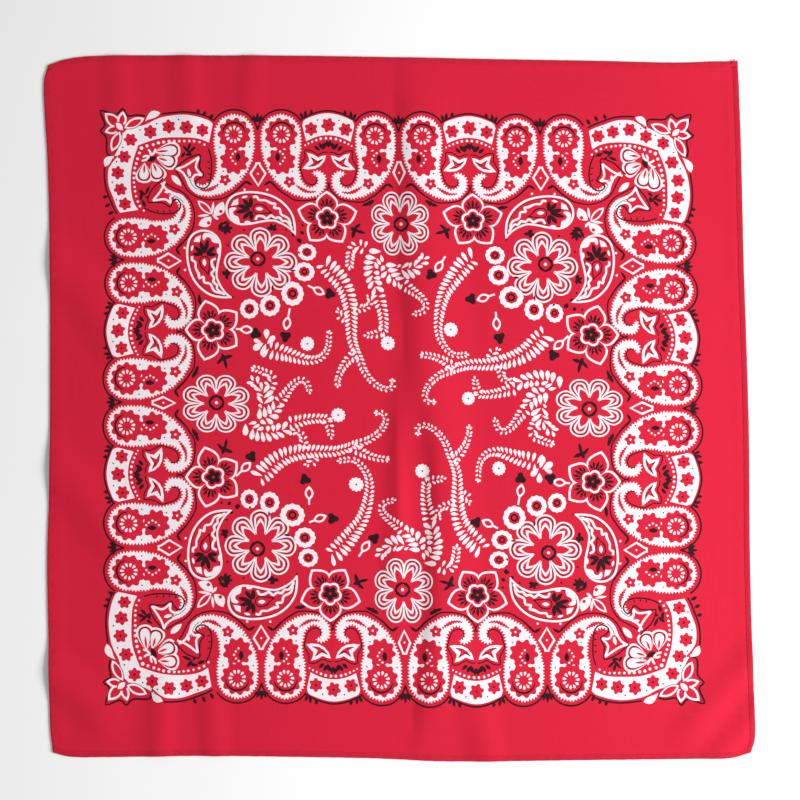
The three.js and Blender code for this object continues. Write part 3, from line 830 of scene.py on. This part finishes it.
printed_shapes = turned(mirrored(border), range(4)) + turned(side_middle + corner, range(4))
printed_shapes += turned(mirrored(flowers), range(4)) + turned(stems + branch, (0, 2))
printed_shapes += turned(moved(stems + other_branch, 3.2, 1), (1, 3)) + turned(cluster, range(4))
printed_shapes += turned(half_turn, (0, 2)) + turned(singles, (0,))


# The cloth's mesh, with the print's outlines as edges in it, and its materials
INK_GAP = 1e-5           # outline points closer than this are one


def unite(shapes):
    """All outlines on the cloth, as points, the edges between them and each outline's first point."""
    outlines = [on_cloth(outline) for _, outline in shapes]
    starts = np.cumsum([0] + [len(outline) for outline in outlines])
    index = np.arange(starts[-1])
    following = index + 1
    following[starts[1:] - 1] = starts[:-1]
    return np.concatenate(outlines), np.stack([index, following], 1), starts


def inks_at(spots, outlines, inks):
    """The ink at each spot: that of the last outline which winds round it."""
    order = np.argsort(spots[:, 0])
    across, along = spots[order].T
    found = np.full(len(spots), GROUND)
    for outline, ink in zip(outlines, inks):
        first, last = np.searchsorted(across, (outline[:, 0].min(), outline[:, 0].max()))
        near = first + np.flatnonzero(
            (along[first:last] > outline[:, 1].min()) & (along[first:last] < outline[:, 1].max()))
        x, y = across[near, None], along[near, None]
        x0, y0 = outline.T
        x1, y1 = np.roll(outline, -1, axis=0).T
        side = (x1 - x0) * (y - y0) - (x - x0) * (y1 - y0)
        winding = ((y0 <= y) & (y1 > y) & (side > 0)).sum(1) - ((y0 > y) & (y1 <= y) & (side < 0)).sum(1)
        found[near[winding != 0]] = ink
    result = np.empty_like(found)
    result[order] = found
    return result


class Socket:
    """A socket of a material's node tree. Arithmetic on it adds Math nodes."""

    def __init__(self, tree, output=None):
        self.tree = tree
        self.output = output

    def node(self, kind, settings, inputs, output=0):
        """Any node: its type, its settings, the values or links of its sockets, and the output wanted."""
        made = self.tree.nodes.new(kind)
        for name, value in settings.items():
            setattr(made, name, value)
        for key, value in inputs.items():
            if isinstance(value, Socket):
                self.tree.links.new(value.output, made.inputs[key])
            else:
                made.inputs[key].default_value = value
        return Socket(self.tree, made.outputs[output])

    def math(self, operation, *others):
        return self.node("ShaderNodeMath", {"operation": operation}, dict(enumerate((self, *others))))

    def __add__(self, other):
        return self.math("ADD", other)

    def __mul__(self, other):
        return self.math("MULTIPLY", other)

    def __sub__(self, other):
        return self.math("SUBTRACT", other)

    def __rsub__(self, other):
        return self * -1 + other

    __radd__ = __add__
    __rmul__ = __mul__


def surface(name, roughness, sheen=0):
    """A new material: its Principled shader, and a socket to start its nodes from."""
    material = bpy.data.materials.new(name)
    material.use_nodes = True
    shader = material.node_tree.nodes["Principled BSDF"]
    shader.inputs["Roughness"].default_value = roughness
    shader.inputs["Sheen Weight"].default_value = sheen
    shader.inputs["Sheen Roughness"].default_value = 0.5
    shader.inputs["Specular IOR Level"].default_value = 0.2
    return material, shader, Socket(material.node_tree)


def mix(start, share, one, other):
    """A colour between one and other."""
    return start.node("ShaderNodeMix", {"data_type": "RGBA"}, {0: share, 6: one, 7: other}, 2)


def feed(shader, name, socket):
    """Link a socket to one of the shader's inputs."""
    socket.tree.links.new(socket.output, shader.inputs[name])


THREAD = 0.37 * MM       # from one thread to the next


def noise(spot, scale, detail):
    """Noise between 0 and 1 over the object's coordinates, stretched by a scale for each axis."""
    stretched = spot.node("ShaderNodeVectorMath", {"operation": "MULTIPLY"}, {0: spot, 1: scale})
    return spot.node("ShaderNodeTexNoise", {}, {"Vector": stretched, "Scale": 1, "Detail": detail})


def coordinates(start):
    """The object's own coordinates, in metres."""
    return start.node("ShaderNodeTexCoord", {}, {}, "Object")


def weave(start, strength, pucker=0):
    """Plain weave as a bump: a sine along each thread direction, multiplied, so that threads pass over
    and under by turns; pucker adds the short waves that sewing draws up."""
    spot = coordinates(start)
    x = spot.node("ShaderNodeSeparateXYZ", {}, {0: spot}, "X")
    y = spot.node("ShaderNodeSeparateXYZ", {}, {0: spot}, "Y")
    height = (x * (math.pi / THREAD)).math("SINE") * (y * (math.pi / THREAD)).math("SINE") * 0.06
    height += noise(spot, (260, 260, 260), 3) * 0.12
    if pucker:
        height += noise(spot, (420, 420, 420), 2) * pucker
    return start.node("ShaderNodeBump", {}, {"Strength": strength, "Distance": 1 * MM, "Height": height})


def threads(start):
    """Share between 0 and 1 that varies from thread to thread, both ways, and slowly over the cloth."""
    spot = coordinates(start)
    share = noise(spot, (40, 1400, 1), 2) + noise(spot, (1400, 40, 1), 2) + noise(spot, (9, 9, 1), 3)
    return (share * (1 / 3) - 0.3) * 2.5


def cotton(name, colour, deeper, roughness, pucker=0):
    """Cotton of one colour, a little deeper in some threads, with its weave standing up."""
    material, shader, start = surface(name, roughness)
    feed(shader, "Base Color", mix(start, threads(start), (*colour, 1), (*deeper, 1)))
    feed(shader, "Normal", weave(start, 0.35, pucker))
    return material


RED = (0.58, 0.0095, 0.036)
DEEP_RED = (0.51, 0.0065, 0.028)
ground_cotton = cotton("red_cotton", RED, DEEP_RED, 0.88)


def ink(name, colour, roughness):
    """Printed colour: even, but the weave still shows through it."""
    material, shader, start = surface(name, roughness)
    shader.inputs["Base Color"].default_value = (*colour, 1)
    feed(shader, "Normal", weave(start, 0.3))
    return material


white_ink = ink("white_print", (0.75, 0.68, 0.71), 0.84)
dark_ink = ink("dark_print", (0.020, 0.002, 0.005), 0.82)

SHOW_THROUGH = (0.70, 0.16, 0.19)
back_cotton, shader, start = surface("red_cotton_back", 0.9)
printed_here = start.node("ShaderNodeAttribute", {"attribute_name": "print_through"}, {}, "Fac")
back_red = mix(start, threads(start), (*RED, 1), (*DEEP_RED, 1))
feed(shader, "Base Color", mix(start, printed_here * 0.8, back_red, (*SHOW_THROUGH, 1)))
feed(shader, "Normal", weave(start, 0.35))


def new_piece(name, points, faces, materials, slots=None, normals=None):
    """A smooth mesh object from points in millimetres and faces, with a material number for each face."""
    mesh = bpy.data.meshes.new(name)
    mesh.from_pydata((np.asarray(points) * MM).tolist(), [], faces)
    for material in materials:
        mesh.materials.append(material)
    if slots is not None:
        mesh.polygons.foreach_set("material_index", slots)
    mesh.polygons.foreach_set("use_smooth", [True] * len(mesh.polygons))
    if normals is not None:
        mesh.normals_split_custom_set_from_vertices(normals.tolist())
    mesh.update()
    piece = bpy.data.objects.new(name, mesh)
    bpy.context.scene.collection.objects.link(piece)
    return piece


FINE_STEP = 4.5          # grid spacing where the fold lines run down the middle
GRID_STEP = 6.6          # and elsewhere
FINE_ZONE = (-30, 65)
lines_u = np.concatenate([
    np.linspace(-PANEL_EDGE, FINE_ZONE[0], round((PANEL_EDGE + FINE_ZONE[0]) / GRID_STEP), endpoint=False),
    np.linspace(*FINE_ZONE, round((FINE_ZONE[1] - FINE_ZONE[0]) / FINE_STEP), endpoint=False),
    np.linspace(FINE_ZONE[1], PANEL_EDGE, round((PANEL_EDGE - FINE_ZONE[1]) / GRID_STEP)),
])
lines_v = np.linspace(-PANEL_EDGE, PANEL_EDGE, round(2 * PANEL_EDGE / GRID_STEP))
grid_u, grid_v = np.meshgrid(lines_u, lines_v)
grid = np.stack([grid_u.ravel(), grid_v.ravel()], 1)
number = np.arange(len(grid)).reshape(grid_u.shape)
rim = np.concatenate([number[0, :-1], number[:-1, -1], number[-1, :0:-1], number[:0:-1, 0]])

outline_points, outline_edges, outline_starts = unite(printed_shapes)
edges = np.concatenate([np.stack([rim, np.roll(rim, -1)], 1), outline_edges + len(grid)])
spots = list(map(Vector, np.concatenate([grid, outline_points]).tolist()))
corners, _, triangles, *_ = delaunay_2d_cdt(spots, edges.tolist(), [], 0, INK_GAP, False)
corners = np.array(corners)
triangles = np.array([tuple(triangle) for triangle in triangles])
centres = corners[triangles].mean(1)
outlines = np.split(outline_points, outline_starts[1:-1])
inks = inks_at(centres, outlines, [shape_ink for shape_ink, _ in printed_shapes])

# The top carries the print, the underside is the plain grid, and a wall joins their rims
top_count = len(corners)
rim_on_top = np.array([np.argmin(np.abs(corners - grid[k]).sum(1)) for k in rim])
rim_below = rim + top_count
squares = np.stack([number[:-1, :-1], number[1:, :-1], number[1:, 1:], number[:-1, 1:]], -1).reshape(-1, 4)
wall = np.stack([rim_below, np.roll(rim_below, -1), np.roll(rim_on_top, -1), rim_on_top], 1)
faces = triangles.tolist() + (squares + top_count).tolist() + wall.tolist()
flat = np.concatenate([corners, grid])
x, y = place(*flat.T)
z = cloth_height(*flat.T)
z[:top_count] += CLOTH_WALL
up = normals_of(*flat.T)
up[top_count:] *= -1
slots = np.concatenate([inks, np.full(len(squares) + len(wall), 3)])
cloth = new_piece(
    "printed_cloth", np.stack([x, y, z], 1), faces,
    [ground_cotton, white_ink, dark_ink, back_cotton], slots, up)

# How much white print is above each point of the underside, for what shows through
nearest = (
    np.argmin(np.abs(centres[:, 1, None] - lines_v), 1) * len(lines_u)
    + np.argmin(np.abs(centres[:, 0, None] - lines_u), 1)
)
a, b, c = (corners[triangles[:, k]] for k in range(3))
areas = np.abs((b[:, 0] - a[:, 0]) * (c[:, 1] - a[:, 1]) - (b[:, 1] - a[:, 1]) * (c[:, 0] - a[:, 0]))
whole = np.bincount(nearest, areas, len(grid))
through = np.zeros(len(flat))
through[top_count:] = np.bincount(nearest, areas * (inks == WHITE), len(grid)) / np.maximum(whole, 1e-6)
cloth.data.attributes.new("print_through", "FLOAT", "POINT").data.foreach_set("value", through)

# A flat map for baking: the top fills most of it and the underside a corner
TOP_SHARE = 0.84
BELOW_SHARE = 0.14
BELOW_CORNER = (0.85, 0.005)
loops = np.empty(len(cloth.data.loops), int)
cloth.data.loops.foreach_get("vertex_index", loops)
spot = flat[loops] / (2 * PANEL_EDGE) + 0.5
below = np.arange(len(loops)) >= 3 * len(triangles)
spot = np.where(below[:, None], spot * BELOW_SHARE + BELOW_CORNER, spot * TOP_SHARE)
cloth.data.uv_layers.new(name="OFBake").data.foreach_set("uv", spot.ravel())

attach(cloth, "root")
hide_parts("panel")

# The hems. Each edge is turned under twice, pressed flat and sewn. The top and bottom hems run
# out over the corners, and the side hems stop at them.
HEM_REST = 0.2           # room below for the underside's stitches
HEM_SIDES = 12           # points round the outer fold
HEM_RING_STEP = 1.3      # from one ring of the profile to the next, at least
HEM_TOP = CLOTH_REST + HEM_STEP + CLOTH_WALL

hem_cotton = cotton("red_cotton_hem", (0.52, 0.0085, 0.033), (0.45, 0.006, 0.025), 0.9, 0.35)


def hem_profile():
    """Cross-section as (distance in from the outer fold, height): flat below and above, with a round
    outer fold and an inner edge tucked under the cloth."""
    half = (HEM_TOP + 0.12 - HEM_REST) / 2
    angle = np.linspace(-0.5, 0.5, HEM_SIDES) * math.pi
    fold = np.stack([half * (1 - np.cos(angle)), HEM_REST + half * (1 + np.sin(angle))], 1)
    above = [(1.6, HEM_TOP + 0.2), (2.8, HEM_TOP + 0.16), (3.6, HEM_TOP + 0.04), (4.1, HEM_TOP - 0.02),
             (5, HEM_TOP - 0.04), (5.9, HEM_TOP - 0.3)]
    below = [(5.9, HEM_REST + 0.05), (4.2, HEM_REST), (2.2, HEM_REST)]
    return np.concatenate([fold, above, below])


def hem(name, node, along, to_square):
    """A hem: its profile carried along the edge, with a slight pucker from the sewing."""
    profile = hem_profile()
    s, k = np.meshgrid(along, np.arange(len(profile)), indexing="ij")
    pucker = 0.05 * np.sin(s * 0.61) + 0.04 * np.sin(s * 0.237 + 1.3)
    inward = profile[k, 0]
    raised = profile[k, 1]
    u, v = to_square(s, HALF - inward - pucker * (inward < 1))
    x, y = place(u, v)
    z = lift(x, y) + raised + pucker * (raised > HEM_REST + 0.3)
    rings, wide = s.shape
    index = np.arange(rings * wide).reshape(rings, wide)
    following = np.roll(index, -1, axis=1)
    faces = np.stack([index[:-1], index[1:], following[1:], following[:-1]], -1).reshape(-1, 4).tolist()
    faces += [index[0].tolist(), index[-1][::-1].tolist()]
    piece = new_piece(name, np.stack([x, y, z], -1).reshape(-1, 3), faces, [hem_cotton])
    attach(piece, "root")
    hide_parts(node)
    return piece


full = np.linspace(-HALF, HALF, int(2 * HALF / HEM_RING_STEP) + 1)
short = np.linspace(-PANEL_EDGE, PANEL_EDGE, int(2 * PANEL_EDGE / HEM_RING_STEP) + 1)
hems = [
    hem("top_hem", "hem_top", full, lambda s, d: (-s, d)),
    hem("bottom_hem", "hem_bottom", full, lambda s, d: (s, -d)),
    hem("left_hem", "hem_left", short, lambda s, d: (-d, -s)),
    hem("right_hem", "hem_right", short, lambda s, d: (d, s)),
]

# The stitching. One row of lockstitch in red cotton thread holds each hem, 4 mm inside the edge. It
# shows on both faces, and its end stands out at the top right corner.
STITCH_IN = 4.0          # from the edge
STITCH_PITCH = 2.5
STITCH_HALF = 1.05       # half the length of one stitch
STITCH_WIDE = 0.2        # half its width
STITCH_THICK = 0.16      # half its thickness
STITCH_SIDES = 5
STITCH_SPOTS = np.array((-1, -0.6, 0.6, 1))         # along a stitch, as shares of half its length
STITCH_TAPER = np.array((0.45, 1, 1, 0.45))         # its thickness there, as a share
STITCH_SUNK = np.array((-0.1, 0.03, 0.03, -0.1))    # and how far it stands out of the cloth

thread_red, shader, start = surface("sewing_thread", 0.75, 0.1)
twist = noise(coordinates(start), (3000, 3000, 3000), 1)
twist_bump = start.node("ShaderNodeBump", {}, {"Strength": 0.4, "Distance": 0.2 * MM, "Height": twist})
feed(shader, "Base Color", mix(start, twist, (0.42, 0.006, 0.02, 1), (0.58, 0.012, 0.035, 1)))
feed(shader, "Normal", twist_bump)


def tubes(spine, side, above, halves):
    """Closed tubes along rows of spine points: rings of a few sides, whose half-axes are side and above,
    both times halves at each point."""
    rows, rings = spine.shape[:2]
    angle = np.arange(STITCH_SIDES) / STITCH_SIDES * 2 * math.pi
    ring = side[:, None, None] * np.cos(angle)[:, None] + above[:, None, None] * np.sin(angle)[:, None]
    points = spine[:, :, None] + ring * halves[None, :, None, None]
    index = np.arange(rows * rings * STITCH_SIDES).reshape(rows, rings, STITCH_SIDES)
    following = np.roll(index, -1, axis=2)
    walls = np.stack([index[:, :-1], following[:, :-1], following[:, 1:], index[:, 1:]], -1).reshape(-1, 4)
    ends = index[:, 0, ::-1].tolist() + index[:, -1].tolist()
    return points.reshape(-1, 3), walls.tolist() + ends


def stitch_row(turn, face, height):
    """The stitches of one edge on one face: flat tubes whose ends dip into the hem."""
    c, s = round(math.cos(turn * math.pi / 2)), round(math.sin(turn * math.pi / 2))
    reach = HALF - STITCH_IN
    run = np.arange(-reach + 1.2, reach - 1, STITCH_PITCH)[:, None] + STITCH_SPOTS * STITCH_HALF
    across = reach + 0.05 * np.sin(run * 1.7)
    x, y = place(run * c - across * s, run * s + across * c)
    spine = np.stack([x, y, lift(x, y) + height + STITCH_SUNK * face], -1)
    ahead = spine[:, -1] - spine[:, 0]
    side = ahead[:, (1, 0, 2)] * (-1, 1, 0)
    side *= STITCH_WIDE / np.linalg.norm(side, axis=1, keepdims=True)
    return tubes(spine, side, np.zeros_like(side) + (0, 0, STITCH_THICK), STITCH_TAPER)


faces_of_hem = ((1, HEM_TOP + 0.04), (-1, HEM_REST))
sewn = [stitch_row(turn, face, height) for turn in range(4) for face, height in faces_of_hem]

# The thread's end, a short knot at the top right corner
x, y = place(HALF, HALF)
KNOT = np.array((
    (-4.6, -2.6, 1), (-4.2, -0.8, 1.4), (-3.4, 0.9, 1.2), (-2.2, 1.3, 0.8), (-1, 0.4, 1), (-0.6, -1.2, 1.2)))
KNOT_TAPER = np.array((0.6, 1, 1, 1, 0.9, 0.5))
sewn.append(tubes(KNOT[None] + (x, y, 0), np.array([(0.35, -0.2, 0)]), np.array([(0, 0, 0.35)]), KNOT_TAPER))

starts = np.cumsum([0] + [len(points) for points, _ in sewn]).tolist()
stitches = new_piece(
    "stitches", np.concatenate([points for points, _ in sewn]),
    [[k + first for k in face] for (_, faces), first in zip(sewn, starts) for face in faces], [thread_red])
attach(stitches, "root")

# The table and the light. A pale table under the cloth, and one large window to the right.
TABLE_HALF = 3           # metres, as are the window's sizes and place
WINDOW_SIZE = (1.6, 0.7)
WINDOW_PLACE = (1.62, -0.3, 0.78)
WINDOW_POWER = 71
ROOM_LIGHT = 0.46

floor_mesh = bpy.data.meshes.new("floor")
floor_corners = [(x * TABLE_HALF, y * TABLE_HALF, 0) for x, y in ((-1, -1), (1, -1), (1, 1), (-1, 1))]
floor_mesh.from_pydata(floor_corners, [], [(0, 1, 2, 3)])
floor = bpy.data.objects.new("floor", floor_mesh)
bpy.context.scene.collection.objects.link(floor)
table_top, shader, start = surface("pale_table", 0.7)
cloudy = noise(coordinates(start), (6, 6, 6), 3)
feed(shader, "Base Color", mix(start, cloudy, (0.80, 0.80, 0.81, 1), (0.84, 0.84, 0.845, 1)))
floor_mesh.materials.append(table_top)

bpy.context.scene.view_settings.view_transform = "Standard"
window_data = bpy.data.lights.new("window_light", "AREA")
window_data.energy = WINDOW_POWER
window_data.shape = "RECTANGLE"
window_data.size, window_data.size_y = WINDOW_SIZE
window = bpy.data.objects.new("window_light", window_data)
window.location = WINDOW_PLACE
window.rotation_euler = (-Vector(WINDOW_PLACE)).to_track_quat("-Z", "Y").to_euler()
bpy.context.scene.collection.objects.link(window)
world = bpy.data.worlds.new("soft_room")
world.use_nodes = True
world.node_tree.nodes["Background"].inputs["Color"].default_value = (1, 1, 1, 1)
world.node_tree.nodes["Background"].inputs["Strength"].default_value = ROOM_LIGHT
bpy.context.scene.world = world
